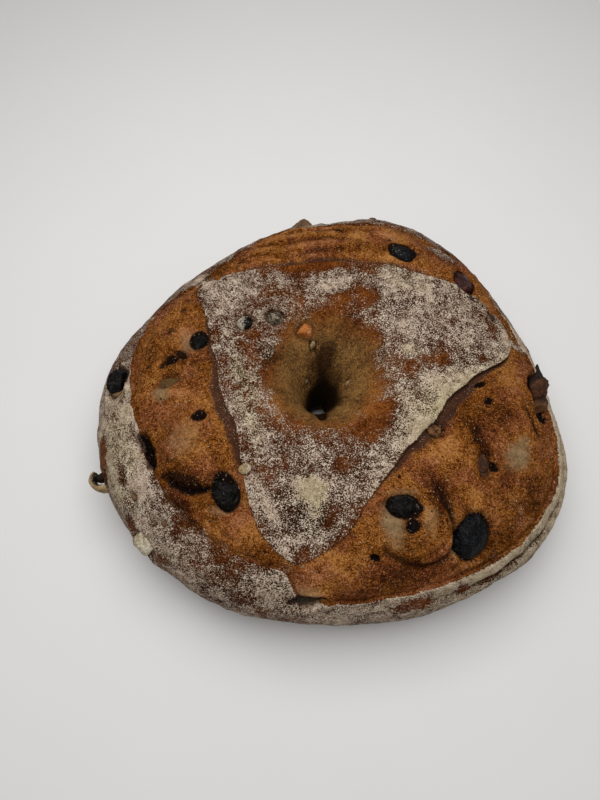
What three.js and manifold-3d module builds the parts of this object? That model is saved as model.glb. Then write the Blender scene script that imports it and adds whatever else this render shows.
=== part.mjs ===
// Ring-shaped fruit and nut sourdough loaf, baked as one piece.
// Millimetres, +Z up, resting on Z = 0 with the middle of its bounding box over the origin.
import * as THREE from 'three';
import { mergeVertices } from 'three/addons/utils/BufferGeometryUtils.js';
import Module from 'manifold-3d';

const wasm = await Module();
wasm.setup();

// Driving dimensions.
const loafHeight = 57;
const hollowCentre = new THREE.Vector2(-0.4, 4.8);
const widestHeight = 22;     // where the side is widest
const waistHeight = 12;      // where the hollow is narrowest
const footTuck = 13;         // how far the side tucks in from its widest to the base
const hollowFlare = 5;       // how far the hollow opens out again below its waist
const shoulderFullness = 2.35;   // 2 is an ellipse, more is squarer
const slitHalfLength = 6;
const slitHalfWidth = 3.4;
const slitTurn = 72;         // degrees from +X to the slit's long way
const slitOffset = new THREE.Vector2(-2.5, -7.5);   // the waist's middle from the hollow's middle

// From the hollow's middle, every 30 degrees from +X: to the top of the ring, and to its outside.
const crestRadii = [34, 34, 33, 33, 33, 34, 35, 36, 38, 39, 38, 36];
const outerRadii = [100, 94, 99, 89, 83, 87, 100, 104.5, 104, 101, 107, 114.5];

// The three cuts opened as crescents. Each edge is [degrees around, degrees down the shoulder],
// where 0 is the crest and 90 is the widest point.
const plateauEdge = [
    [7, 43], [16, 47], [25, 43], [35, 32], [49, 20], [75, 13], [102, 14], [125, 24], [145, 36],
    [155, 21], [163, 13], [186, 5.5], [216, 5], [233, 11.5], [243, 21], [252, 32], [262, 39.5],
    [268, 35], [275, 27.5], [284, 16], [293, 10.5], [311, 6], [338, 8.5], [353, 18],
];
const rimEdge = [
    [12, 51], [20, 53], [33, 63], [44, 58], [55, 49], [80, 47], [107, 54], [120, 51], [147, 40],
    [170, 40], [203, 39], [226, 42], [258, 44.5], [265, 62], [287, 60], [318, 61], [345, 58],
];
const skinLift = 1.3;        // the floured skin curls up beside a cut
const skinLiftReach = 12;    // degrees of shoulder over which it settles again
const cutDepth = 1.2;        // the crescent's edge lies this far under the skin line
const cutSwell = 1.8;        // and its middle swells out by this much
const cutStep = 0.8;         // degrees of shoulder that the step between them takes

// Fruit and nuts that stand proud: degrees around, degrees down the shoulder (negative is down
// into the hollow), half sizes along, across and out, turn of the long way, and how far it sits out.
const pieces = [
    { around: 308, down: 44, size: [8.6, 6.8, 5.2], turn: 60, out: -2.4 },
    { around: 295, down: 24, size: [6.6, 4.4, 3.6], turn: 10, out: -1.8 },
    { around: 235, down: 25, size: [6.8, 5.0, 4.0], turn: 80, out: -2.0 },
    { around: 170, down: 15, size: [4.0, 3.6, 3.0], turn: 60, out: -1.4 },
    { around: 183, down: 52, size: [5.4, 4.2, 4.0], turn: 0, out: -0.8 },
    { around: 57, down: 26, size: [6.2, 5.0, 3.6], turn: 20, out: -1.8 },
    { around: 34, down: 42, size: [6.0, 4.4, 3.6], turn: 10, out: -1.6 },
    { around: 152, down: 3, size: [4.2, 3.7, 2.6], turn: 0, out: -1.0 },
    { around: 135, down: -10, size: [4.2, 3.7, 2.6], turn: 0, out: -0.8 },
    { around: 115, down: -35, size: [3.2, 3.0, 2.8], turn: 0, out: -0.4 },
    { around: 224, down: 78, size: [5.2, 4.6, 3.8], turn: 0, out: -0.8 },
    { around: 202, down: 82, size: [4.0, 3.2, 7.0], turn: 0, out: 1.4 },
    { around: 357, down: 60, size: [6.5, 4.0, 3.6], turn: 10, out: -0.4 },
    { around: 97, down: 72, size: [4.6, 3.4, 3.0], turn: 0, out: -0.6 },
];

const columns = 96;
const rows = { hollow: 8, plateau: 5, crescent: 6, rim: 5, foot: 4, base: 3, flare: 3 };
const pieceDetail = 2;       // subdivisions of the icosahedron behind each fruit

const radians = THREE.MathUtils.degToRad;

// Smooth periodic curve through evenly spaced values.
function evenlyThrough(values, around) {
    const place = (around / 360) * values.length;
    const first = Math.floor(place);
    const t = place - first;
    const value = (step) => values[(first + step + values.length) % values.length];
    const [a, b, c, d] = [value(-1), value(0), value(1), value(2)];
    const slopeIn = (c - a) / 2;
    const slopeOut = (d - b) / 2;
    return hermite(b, c, slopeIn, slopeOut, t);
}

function hermite(from, to, slopeFrom, slopeTo, t) {
    const rise = 3 * t * t - 2 * t * t * t;
    return from * (1 - rise) + to * rise
        + slopeFrom * (t * t * t - 2 * t * t + t) + slopeTo * (t * t * t - t * t);
}

// Smooth periodic curve through uneven points, with no overshoot: its turning points are its own.
function smoothThrough(points, around) {
    const count = points.length;
    const at = (index) => {
        const lap = Math.floor(index / count);
        const [angle, value] = points[index - lap * count];
        return [angle + 360 * lap, value];
    };
    const slope = (index) => (at(index + 1)[1] - at(index)[1]) / (at(index + 1)[0] - at(index)[0]);
    const tangent = (index) => {
        const before = slope(index - 1);
        const after = slope(index);
        return before * after <= 0 ? 0 : (2 * before * after) / (before + after);
    };
    const angle = around < points[0][0] ? around + 360 : around;
    let index = 0;
    while (at(index + 1)[0] <= angle) {
        index += 1;
    }
    const span = at(index + 1)[0] - at(index)[0];
    const t = (angle - at(index)[0]) / span;
    return hermite(at(index)[1], at(index + 1)[1], tangent(index) * span, tangent(index + 1) * span, t);
}

// Half width of the hollow at its waist, an ellipse.
function waistRadius(around) {
    const turned = radians(around - slitTurn);
    return 1 / Math.hypot(Math.cos(turned) / slitHalfLength, Math.sin(turned) / slitHalfWidth);
}

// Distance from the hollow's middle and height of the smooth loaf, where down runs from -90 at
// the waist, over 0 at the crest and 90 at the widest point, to 180 at the base.
function sectionPoint(around, down) {
    const crestRadius = evenlyThrough(crestRadii, around);
    const outer = evenlyThrough(outerRadii, around);
    if (down < 0) {
        const waist = waistRadius(around);
        const reach = (crestRadius - waist) * Math.sin(radians(-down));
        return [crestRadius - reach, waistHeight + (loafHeight - waistHeight) * Math.cos(radians(down))];
    }
    if (down <= 90) {
        const power = 2 / shoulderFullness;
        const spread = Math.sin(radians(down)) ** power;
        const rise = Math.max(0, Math.cos(radians(down))) ** power;
        const height = widestHeight + (loafHeight - widestHeight) * rise;
        return [crestRadius + (outer - crestRadius) * spread, height];
    }
    const tuck = radians(down - 90);
    return [outer - footTuck * (1 - Math.cos(tuck)), widestHeight * (1 - Math.sin(tuck))];
}

// The hollow leans towards its slit as it goes down: 0 at the crest, 1 at the waist and below.
function leanAt(down) {
    return down < 0 ? Math.sin(radians(down)) ** 2 : 0;
}

// How far the crust stands off the smooth loaf beside and inside the cuts.
function standOff(around, down) {
    const inner = smoothThrough(plateauEdge, around);
    const outer = smoothThrough(rimEdge, around);
    if (down > inner && down < outer) {
        const across = (down - inner) / (outer - inner);
        return cutSwell * Math.sin(Math.PI * across) - cutDepth;
    }
    const away = down <= inner ? inner - down : down - outer;
    return skinLift * Math.max(0, 1 - away / skinLiftReach) ** 2;
}

function surfacePoint(around, down) {
    const nudge = 0.5;
    const [radius, height] = sectionPoint(around, down);
    const [innerRadius, innerHeight] = sectionPoint(around, Math.max(-90, down - nudge));
    const [outerRadius, outerHeight] = sectionPoint(around, Math.min(180, down + nudge));
    const along = new THREE.Vector2(outerRadius - innerRadius, outerHeight - innerHeight).normalize();
    const off = Math.abs(down) < 90 ? standOff(around, down) : 0;
    return place(around, radius - along.y * off, height + along.x * off, leanAt(down));
}

function place(around, radius, height, lean) {
    return new THREE.Vector3(
        hollowCentre.x + slitOffset.x * lean + radius * Math.cos(radians(around)),
        hollowCentre.y + slitOffset.y * lean + radius * Math.sin(radians(around)),
        height,
    );
}

// One closed loop of points up the hollow, over the crest, down the side and back under the base.
function sectionLoop(around) {
    const inner = smoothThrough(plateauEdge, around);
    const outer = smoothThrough(rimEdge, around);
    const loop = [];
    const run = (from, to, count, withEnd) => {
        for (let step = 0; step < count + (withEnd ? 1 : 0); step += 1) {
            loop.push(surfacePoint(around, from + ((to - from) * step) / count));
        }
    };
    run(-90, 0, rows.hollow, false);
    run(0, inner, rows.plateau, true);
    run(inner + cutStep, outer - cutStep, rows.crescent, true);
    run(outer, 90, rows.rim, false);
    run(90, 180, rows.foot, true);
    const baseOuter = evenlyThrough(outerRadii, around) - footTuck;
    const baseInner = waistRadius(around) + hollowFlare;
    for (let step = 1; step < rows.base; step += 1) {
        const inwards = step / rows.base;
        loop.push(place(around, baseOuter + (baseInner - baseOuter) * inwards, 0, inwards));
    }
    for (let step = 0; step < rows.flare; step += 1) {
        const rise = radians((90 * step) / rows.flare);
        const radius = baseInner - hollowFlare * Math.sin(rise);
        loop.push(place(around, radius, waistHeight * (1 - Math.cos(rise)), 1));
    }
    return loop;
}

function loafGeometry() {
    const positions = [];
    for (let column = 0; column < columns; column += 1) {
        for (const point of sectionLoop((360 * column) / columns)) {
            positions.push(point.x, point.y, point.z);
        }
    }
    const perLoop = positions.length / 3 / columns;
    const corners = [];
    for (let column = 0; column < columns; column += 1) {
        for (let row = 0; row < perLoop; row += 1) {
            const nextRow = (row + 1) % perLoop;
            const here = column * perLoop;
            const next = ((column + 1) % columns) * perLoop;
            corners.push(here + row, here + nextRow, next + nextRow);
            corners.push(here + row, next + nextRow, next + row);
        }
    }
    const geometry = new THREE.BufferGeometry();
    geometry.setAttribute('position', new THREE.Float32BufferAttribute(positions, 3));
    geometry.setIndex(corners);
    return geometry;
}

// A raisin or nut: an ellipsoid half sunk in the crust, square to it.
function pieceGeometry({ around, down, size, turn, out }) {
    const nudge = 1;
    const centre = surfacePoint(around, down);
    const along = surfacePoint(around + nudge, down).sub(surfacePoint(around - nudge, down)).normalize();
    const across = surfacePoint(around, down + nudge).sub(surfacePoint(around, down - nudge)).normalize();
    const outwards = new THREE.Vector3().crossVectors(across, along).normalize();
    across.crossVectors(along, outwards).negate();
    const basis = new THREE.Matrix4().makeBasis(along, across, outwards.clone());
    basis.setPosition(centre.addScaledVector(outwards, out));
    const ball = new THREE.IcosahedronGeometry(1, pieceDetail);
    ball.deleteAttribute('normal');
    ball.deleteAttribute('uv');
    const closed = mergeVertices(ball, 1e-4);
    closed.scale(...size);
    closed.rotateZ(radians(turn));
    closed.applyMatrix4(basis);
    return closed;
}

function toManifold(geometry) {
    const mesh = new wasm.Mesh({
        numProp: 3,
        vertProperties: new Float32Array(geometry.getAttribute('position').array),
        triVerts: new Uint32Array(geometry.getIndex().array),
    });
    return new wasm.Manifold(mesh);
}

function fromManifold(solid) {
    const mesh = solid.getMesh();
    const geometry = new THREE.BufferGeometry();
    geometry.setAttribute('position', new THREE.BufferAttribute(mesh.vertProperties, 3));
    geometry.setIndex(new THREE.BufferAttribute(mesh.triVerts, 1));
    geometry.computeVertexNormals();
    return geometry;
}

let solid = toManifold(loafGeometry());
for (const piece of pieces) {
    solid = solid.add(toManifold(pieceGeometry(piece)));
}

const crust = new THREE.MeshStandardMaterial({ color: 0x7a4826, roughness: 0.78, metalness: 0 });
const loaf = new THREE.Mesh(fromManifold(solid), crust);
loaf.name = 'loaf';

const part = new THREE.Group();
part.add(loaf);

export default part;
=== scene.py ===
import math
import bpy
import numpy as np
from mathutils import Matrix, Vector, noise


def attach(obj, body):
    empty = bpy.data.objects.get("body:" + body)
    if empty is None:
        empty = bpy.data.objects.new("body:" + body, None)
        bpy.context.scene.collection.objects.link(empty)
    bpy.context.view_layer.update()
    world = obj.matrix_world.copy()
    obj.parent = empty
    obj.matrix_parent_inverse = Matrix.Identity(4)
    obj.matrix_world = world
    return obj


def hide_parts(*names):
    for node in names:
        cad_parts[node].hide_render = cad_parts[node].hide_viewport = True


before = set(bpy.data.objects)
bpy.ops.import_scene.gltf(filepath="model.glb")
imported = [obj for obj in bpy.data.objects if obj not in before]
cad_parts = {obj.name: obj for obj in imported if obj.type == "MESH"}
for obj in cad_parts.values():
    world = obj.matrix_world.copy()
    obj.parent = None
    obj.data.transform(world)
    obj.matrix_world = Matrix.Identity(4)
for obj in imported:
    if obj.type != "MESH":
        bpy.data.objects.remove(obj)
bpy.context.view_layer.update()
scene = bpy.context.scene
mm = 0.001  # the dictionaries below are in millimetres and degrees

# The loaf's smooth body.
loafShape = {
    "height": 57,
    "hollowCentre": (-0.4, 4.8),
    "widestHeight": 22,
    "waistHeight": 12,      # where the hollow is narrowest
    "footTuck": 13,
    "hollowFlare": 5,
    "fullness": 2.35,       # 2 is an ellipse, more is squarer
    "slitHalfLength": 6,
    "slitHalfWidth": 3.4,
    "slitTurn": 72,
    "slitOffset": (-2.5, -7.5),   # the waist's middle from the hollow's middle
    # how far down the painted shade of the pit starts, as degrees around: down
    "pitShadeLevels": {0: -56, 60: -57, 93: -60, 120: -68, 180: -70, 240: -56, 258: -42, 268: -31, 280: -42,
        300: -50, 330: -52},
    # from the hollow's middle, every 30 degrees from +X: to the top of the ring, and to its outside
    "crestRadii": [34, 34, 33, 33, 33, 34, 35, 36, 38, 39, 38, 36],
    "outerRadii": [100, 94, 99, 89, 83, 87, 100, 104.5, 104, 101, 107, 114.5],
}

# The cuts opened as three crescents. An edge is degrees around: degrees down the shoulder,
# 0 down at the crest and 90 at the widest point. The others are degrees around: amount.
cutShape = {
    "plateauEdge": {7: 43, 16: 47, 25: 43, 35: 32, 49: 20, 75: 13, 102: 14, 125: 24, 145: 36, 155: 21,
        163: 13, 186: 5.5, 216: 5, 233: 11.5, 243: 21, 252: 32, 262: 39.5, 268: 35, 275: 27.5, 284: 16,
        293: 10.5, 311: 6, 338: 8.5, 353: 18},
    "rimEdge": {5: 57, 12: 54, 20: 55, 33: 64, 44: 58, 55: 49, 80: 47, 107: 54, 120: 51, 141: 43, 149: 48,
        157: 53, 170: 47, 180: 44, 191: 40.5, 203: 39, 226: 42, 258: 44.5, 265: 62, 287: 60, 318: 61,
        345: 58},
    # millimetres of smooth stretched dough beside the inner edge
    "stripWidth": {0: 3.6, 14: 0.6, 60: 2, 110: 2.2, 150: 0.4, 163: 2, 185: 3.2, 205: 4.6, 217: 5.2,
        228: 3.6, 240: 0.6, 284: 0.6, 298: 2.4, 318: 5.2, 341: 6.6, 352: 5.4},
    # how far the floured skin curls up beside the inner edge, and beside the rim
    "lipLift": {5: 1, 30: 0.6, 60: 0.35, 110: 0.25, 150: 0.4, 165: 0.25, 230: 0.25, 262: 0.35, 300: 1,
        350: 1.1},
    "rimLift": {0: 1.2, 40: 0.6, 150: 0.6, 185: 0.8, 215: 0.3, 250: 0.25, 275: 1.2, 340: 1.6},
    # how softly the flour ends at the inner edge and at the rim, 0 crisp to 1 faded
    "innerFade": {0: 0, 40: 0.2, 62: 0.8, 112: 1, 128: 0.3, 150: 0.2, 165: 0.35, 205: 0.25, 250: 0.2,
        262: 0.5, 275: 0.5, 292: 0.1},
    "rimFade": {0: 0.2, 40: 0.8, 140: 0.5, 190: 0.2, 212: 0.5, 228: 1, 256: 0.7, 266: 0},
    # how clearly the rim's edge folds over as a ribbon with a groove under it
    "ribbon": {0: 0.3, 20: 0, 270: 0, 288: 0.12, 299: 0.35, 309: 0.9, 345: 0.9, 353: 0.5},
    "ribbonLies": (2.4, 7.2, 12),   # from the rim's edge to the ribbon, its groove and the wall's swell
    "narrowest": 3.4,      # degrees between the two edges where a crescent runs out
    "lipReach": 5,
    "rimReach": 3.6,
    "grooveDepth": 1.7,
    "rimGroove": 1.2,
    "swell": 1.9,
}

# The crust is one sheet of points: columns run round the ring, and rows go over it from the
# hollow's waist to the base. Each kind of row lists how far through that kind its rows lie.
crustGrid = {
    "columns": 600,
    "rows": {
        "hollow": np.arange(24) / 24, "plateau": np.arange(27) / 26, "lip": (0.25, 0.55, 1),
        "crescent": np.arange(1, 50) / 50, "rimLip": (0, 0.5, 0.8), "rim": np.arange(20) / 20,
        "foot": np.arange(15) / 14, "base": np.arange(1, 12) / 12, "flare": np.arange(6) / 6,
    },
}
far = 99.0  # beyond every reach below


def hermite(start, end, slopeStart, slopeEnd, t):
    rise = 3 * t * t - 2 * t ** 3
    bend = slopeStart * (t ** 3 - 2 * t * t + t) + slopeEnd * (t ** 3 - t * t)
    return start * (1 - rise) + end * rise + bend


def evenlyThrough(values, around):
    # smooth closed curve through evenly spaced values
    values = np.asarray(values, float)
    place = np.mod(around, 360.0) / 360.0 * len(values)
    first = np.floor(place).astype(int)
    before, here, after, beyond = (values[(first + step) % len(values)] for step in (-1, 0, 1, 2))
    return hermite(here, after, (after - before) / 2, (beyond - here) / 2, place - first)


def smoothThrough(points, around):
    # smooth closed curve through {degrees around: value} points that never overshoots them
    points = np.array(list(points.items()), float)
    angles = np.concatenate([points[-2:, 0] - 360, points[:, 0], points[:2, 0] + 360])
    values = np.concatenate([points[-2:, 1], points[:, 1], points[:2, 1]])
    slopes = np.diff(values) / np.diff(angles)
    tangents = np.zeros(len(values))
    steady = slopes[:-1] * slopes[1:] > 0
    both = np.where(steady, slopes[:-1] + slopes[1:], 1.0)
    tangents[1:-1] = np.where(steady, 2 * slopes[:-1] * slopes[1:] / both, 0.0)
    angle = np.mod(around, 360.0)
    index = np.clip(np.searchsorted(angles, angle, side="right") - 1, 0, len(angles) - 2)
    span = angles[index + 1] - angles[index]
    t = (angle - angles[index]) / span
    return hermite(values[index], values[index + 1], tangents[index] * span, tangents[index + 1] * span, t)


def waistRadius(around):
    turned = np.radians(around - loafShape["slitTurn"])
    across = np.cos(turned) / loafShape["slitHalfLength"]
    along = np.sin(turned) / loafShape["slitHalfWidth"]
    return 1 / np.hypot(across, along)


def place(around, radius, height, lean=0.0):
    # lean is how far the middle has moved from the hollow's to the slit's, 0 to 1
    middle, offset = loafShape["hollowCentre"], loafShape["slitOffset"]
    x = middle[0] + offset[0] * lean + radius * np.cos(np.radians(around))
    y = middle[1] + offset[1] * lean + radius * np.sin(np.radians(around))
    return np.stack([x, y, height + 0 * x], axis=-1)


def sectionPoint(around, down):
    # down runs from -90 at the hollow's waist, over 0 at the crest and 90 at the widest, to 180
    outer = evenlyThrough(loafShape["outerRadii"], around)
    crest = evenlyThrough(loafShape["crestRadii"], around)
    top, wide, waistZ = loafShape["height"], loafShape["widestHeight"], loafShape["waistHeight"]
    power = 2 / loafShape["fullness"]
    inHollow = np.radians(np.clip(-down, 0, 90))
    onShoulder = np.radians(np.clip(down, 0, 90))
    onFoot = np.radians(np.clip(down - 90, 0, 90))
    spread = np.sin(onShoulder) ** power
    rise = np.maximum(0, np.cos(onShoulder)) ** power
    radius = crest - (crest - waistRadius(around)) * np.sin(inHollow) + (outer - crest) * spread
    radius = radius - loafShape["footTuck"] * (1 - np.cos(onFoot))
    shoulderZ = wide + (top - wide) * rise
    hollowZ = waistZ + (top - waistZ) * np.cos(inHollow)
    footZ = wide * (1 - np.sin(onFoot))
    height = np.where(down < 0, hollowZ, np.where(down <= 90, shoulderZ, footZ))
    return place(around, radius, height, np.sin(inHollow) ** 2)


def unit(vectors):
    return vectors / np.maximum(1e-9, np.linalg.norm(vectors, axis=-1, keepdims=True))


def surfaceFrame(around, down):
    # the point, the way down the section and the way out
    nudge = 0.4
    lower = sectionPoint(around, np.minimum(180, down + nudge))
    upper = sectionPoint(around, np.maximum(-90, down - nudge))
    downhill = unit(lower - upper)
    onward = unit(sectionPoint(around + nudge, down) - sectionPoint(around - nudge, down))
    return sectionPoint(around, down), downhill, unit(np.cross(downhill, onward))


def seat(at, turn=0):
    # a spot on the smooth loaf, two axes flat on the surface there, and the way out;
    # unturned, the first axis is as near +X as the surface allows
    around, down = (np.array([float(value)]) for value in at)
    centre, _, out = (value[0] for value in surfaceFrame(around, down))
    east = unit(np.array([1.0, 0, 0]) - out * out[0])
    north = np.cross(out, east)
    turned = math.radians(turn)
    along = east * math.cos(turned) + north * math.sin(turned)
    across = north * math.cos(turned) - east * math.sin(turned)
    return centre, along, across, out


def noiseAt(points, size, seed, octaves=1):
    # gradient noise, about -1 to 1, with features about size millimetres wide
    shift = Vector((seed * 13.7, seed * 7.3, seed * 3.1))
    flat = points.reshape(-1, 3) / size
    if octaves == 1:
        values = [noise.noise(Vector(p) + shift) for p in flat]
    else:
        values = [noise.fractal(Vector(p) + shift, 0.9, 2.1, octaves) for p in flat]
    return np.array(values).reshape(points.shape[:-1])


def smooth(low, high, value):
    t = np.clip((value - low) / (high - low), 0, 1)
    return t * t * (3 - 2 * t)


def hump(value, width):
    return np.exp(-(value / width) ** 2)


def turnBetween(angle, middle):
    # degrees from middle to angle the short way round
    return np.mod(angle - middle + 180, 360) - 180


def spot(around, down, east, north, turn=0, **how):
    # a patch of crust at [around, down], with its half lengths east and north, turned by turn
    return {"at": (around, down), "size": (east, north), "turn": turn,
            "lift": 0, "soft": 0.7, "dark": 0, "pale": 0, "tint": 0, "warm": 0, **how}


# Marks on the crust. lift raises or sinks a mark and soft is how gently that fades; dark, pale
# and tint colour it, where dark is painted shade in the cavities and cracks a mark sinks, and
# burnt crust, and tint runs from -1, purple-brown, to 1, golden.
crustMarks = [
    # left crescent
    spot(215.5, 22.5, 10.5, 13.5, 15, lift=3.6, soft=1),
    # painted shade in the recess under the bulge
    spot(222, 30.4, 11, 3.6, -16, lift=-1.6, soft=1, dark=0.62, tint=-0.7),
    # a cavity, its dark a painted shade
    spot(207.6, 37.2, 3, 8.8, 26, lift=-3.8, soft=0.6, dark=0.66),
    spot(207.2, 38.4, 1.9, 8, 26, lift=-0.8, dark=1),
    spot(212, 21, 6.5, 8, pale=0.34, tint=0.45),
    spot(221, 19, 3.5, 6, 10, tint=0.6),
    spot(180, 22.4, 3, 2.6, 10, lift=-1, dark=0.8),
    spot(177.6, 19, 3.8, 1.6, -36, lift=-0.8, dark=0.72),
    spot(181.6, 25, 2.4, 1.4, 30, lift=-0.6, dark=0.6, tint=-0.6),
    spot(179.4, 21, 6.5, 4.6, -24, tint=-0.6),
    spot(171.6, 17.4, 4.6, 6, 10, pale=0.5),
    spot(193.2, 21.6, 2, 1.6, lift=0.6, tint=1.2),
    spot(192.4, 25.4, 4.4, 3.6, pale=0.85),
    spot(194.5, 18, 3, 2.2, lift=0.8, tint=0.8),
    spot(206.4, 14, 3.6, 2.6, 20, lift=-1.2, dark=0.85),
    spot(157.6, 30.8, 1.7, 1.7, lift=-0.7, dark=0.6),
    spot(167.2, 29.2, 2.4, 1.2, 35, lift=-0.8, dark=0.6),
    spot(181.1, 32.5, 1.6, 1.4, lift=-0.5, dark=0.6),
    spot(204, 27, 2, 2, lift=-0.5, dark=0.4),
    spot(169, 20.5, 4.8, 5.8, tint=0.9),
    spot(181, 34, 4.5, 15, -15, tint=-0.4),
    spot(197, 20, 10, 10, tint=0.3),
    spot(243, 31, 10, 7, -35, tint=0.6),
    spot(228, 38, 13, 3.4, -50, lift=-0.4, tint=-0.8),
    spot(236.5, 29.5, 4.6, 2, -10, pale=0.4),
    # right crescent
    spot(295.6, 28.5, 14, 13.5, lift=1.4, soft=0.6),
    spot(289.6, 25.5, 4.6, 9, 12, lift=-0.8, pale=0.9),
    spot(300, 29.5, 3.4, 5, -10, pale=0.45),
    spot(289, 33, 3.2, 3.4, 30, pale=0.45),
    spot(296.5, 17.3, 7, 2, pale=0.35, tint=0.2),
    spot(292.2, 19.8, 3.2, 2.6, lift=-1.4, dark=0.85),
    spot(300.5, 27, 3.4, 5, tint=0.7),
    spot(306.3, 24, 4.6, 9.5, 8, lift=-0.9, dark=0.15, tint=-0.8),
    spot(331.2, 35.2, 6.4, 5.2, 35, lift=1.4, soft=0.9, pale=1),
    spot(335.4, 36, 2.6, 4.4, -35, pale=0.8),
    spot(328, 23.5, 2.4, 4.6, 10, lift=-0.6, dark=0.3, tint=-1),
    spot(324.9, 29, 1.2, 2.6, 35, lift=-1.8, soft=0.5, dark=1),
    spot(324, 35, 4.5, 5, tint=-0.5),
    spot(350.7, 21.4, 2.1, 1.3, 20, lift=-1.8, soft=0.5, dark=1),
    spot(344.7, 22.9, 2.3, 1.8, 30, lift=-1.6, soft=0.5, dark=0.9),
    spot(282.4, 37.4, 2, 1.5, -20, lift=-1.6, soft=0.5, dark=1),
    spot(299, 12.5, 0.8, 0.8, lift=-1, soft=0.5, dark=1),
    spot(331, 19.5, 2.2, 5, -5, lift=-0.6, dark=0.55, tint=-0.7),
    spot(338, 22, 14, 9, tint=-0.35),
    spot(318.6, 15, 11, 5.5, 35, tint=0.65),
    spot(356, 36, 6, 12, 10, tint=0.35),
    spot(326.8, 46.4, 6, 9, tint=-0.5),
    spot(314.6, 32, 2.8, 6, tint=0.6),
    spot(314, 50, 8, 4.5, 30, lift=-0.6, tint=-0.6),
    spot(302.2, 45.4, 2.4, 2, lift=-1.5, dark=0.35, pale=0.4),
    spot(267, 47, 12, 8, 20, tint=0.4),
    spot(275, 38, 9, 6, tint=0.3),
    spot(291, 49, 15, 6, 12, lift=-0.3, tint=-0.55),
    spot(299.5, 55, 11, 2.4, 25, tint=0.4),
    spot(265.5, 54, 6, 3.4, lift=0.2, pale=0.45, tint=0.3),
    spot(265.4, 59.4, 8.4, 2.5, 12, lift=-3.2, soft=0.7, dark=1),
    spot(347.6, 49.4, 3.4, 4.4, 8, lift=-2, dark=1),
    spot(283, 43, 5, 3, 20, lift=0.5),
    spot(320, 40, 3, 3, lift=0.7),
    # top crescent
    spot(60, 20, 6, 3.5, -20, tint=0.8),
    spot(66, 33, 6, 3, -20, tint=0.8),
    spot(76, 30, 5, 4.5, tint=0.7),
    spot(27.5, 38.5, 1.3, 2.8, 25, lift=-1.4, dark=0.8),
    spot(21, 45, 1.3, 5, 25, lift=-1.7, dark=1),
    spot(31, 36, 3, 4, 25, tint=0.5),
    spot(60, 35, 12, 5, -20, tint=0.35),
    spot(128, 40, 12, 7, 32, tint=-0.6),
    spot(45, 57, 9, 5, -35, tint=-0.4),
    # hollow
    # painted shade down a channel on the hollow's far wall
    spot(84, -49, 5, 10, -22, dark=0.42, tint=-1),
    spot(268, -40, 2.2, 6.5, lift=-2.4, soft=1),
    spot(222, -15, 5, 8, 30, tint=0.7),
    spot(322, -17, 5, 9, -30, tint=0.3),
    spot(303, -12, 7, 4, 30, tint=-0.5),
    spot(165, -14, 4, 8, tint=-0.5),
    spot(60, -18, 6, 4, -30, tint=-0.5),
    spot(170, -22, 4, 4, tint=-0.7),
    # rim and wall
    spot(223, 43.5, 2.3, 2, lift=0.8, soft=0.9, pale=0.5),
    spot(180, 52, 2.6, 6, -10, lift=0.9, dark=0.5),
    spot(262, 21, 12, 8, tint=-0.6),
]

# Folds and cracks: (width, depth, dark, which is painted shade in the crease, the [around, down] points it
# runs through).
crustCreases = [
    (1.5, 3.4, 1, [(216.4, 34.6), (219.8, 35.2), (223.4, 33.4), (226.6, 30.6), (229.4, 26.4), (230, 22.6)]),
    (1.3, 0.9, 0.35, [(213, 38.4), (217.5, 40.5), (223.5, 41), (230, 39)]),
    (1.5, 3, 1, [(262, 65.8), (263.7, 64.4), (265.9, 61.5), (268.7, 59)]),
    (1.4, 1.9, 0.75, [(308.8, 18), (308.3, 22.4), (306.5, 29.6), (304.3, 39.2), (301.4, 45.6)]),
    (1.3, 1.9, 0.62, [(303, 44), (297.7, 47.5), (293.8, 47.2), (290.3, 42.8), (286, 37), (285, 31)]),
    (0.9, 1.6, 0.9, [(348.4, 39.4), (345, 41.4), (342.2, 42.2), (338.6, 46.4)]),
    (0.7, 0.8, 0.5, [(352, 44), (346, 46), (341, 49)]),
    (1.1, 0.8, 0.4, [(320, 33), (320.5, 38), (319, 43)]),
    (0.8, 0.7, 0.4, [(168, 27), (172.3, 18.9), (175.6, 16.6)]),
    (0.7, 1.5, 0.95, [(190, 25.4), (188.6, 24.4), (184.6, 22.2)]),
    (0.9, 1.3, 0.85, [(22.9, 39.6), (19, 42), (15.8, 44.3)]),
    (0.9, 0.6, 0.3, [(236, 34), (241, 37), (247, 38)]),
    (0.8, 0.8, 0.5, [(115, 50), (108, 42), (98, 40), (86, 39)]),
    (0.9, 0.9, 0.5, [(141, 30), (131, 40), (119, 47)]),
]

# Rounded ridges in an arc: (middle, radius, reach, wave, lift, tint, degrees to the arc's middle
# and from there to its ends).
crustSwirls = [
    ((296, 28), 11.5, 3.6, 3.6, 0.26, 0.3, 310, 70),
    ((342.5, 24.5), 4.6, 0.9, 4, 0.7, 0.4, 45, 65),
]

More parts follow.
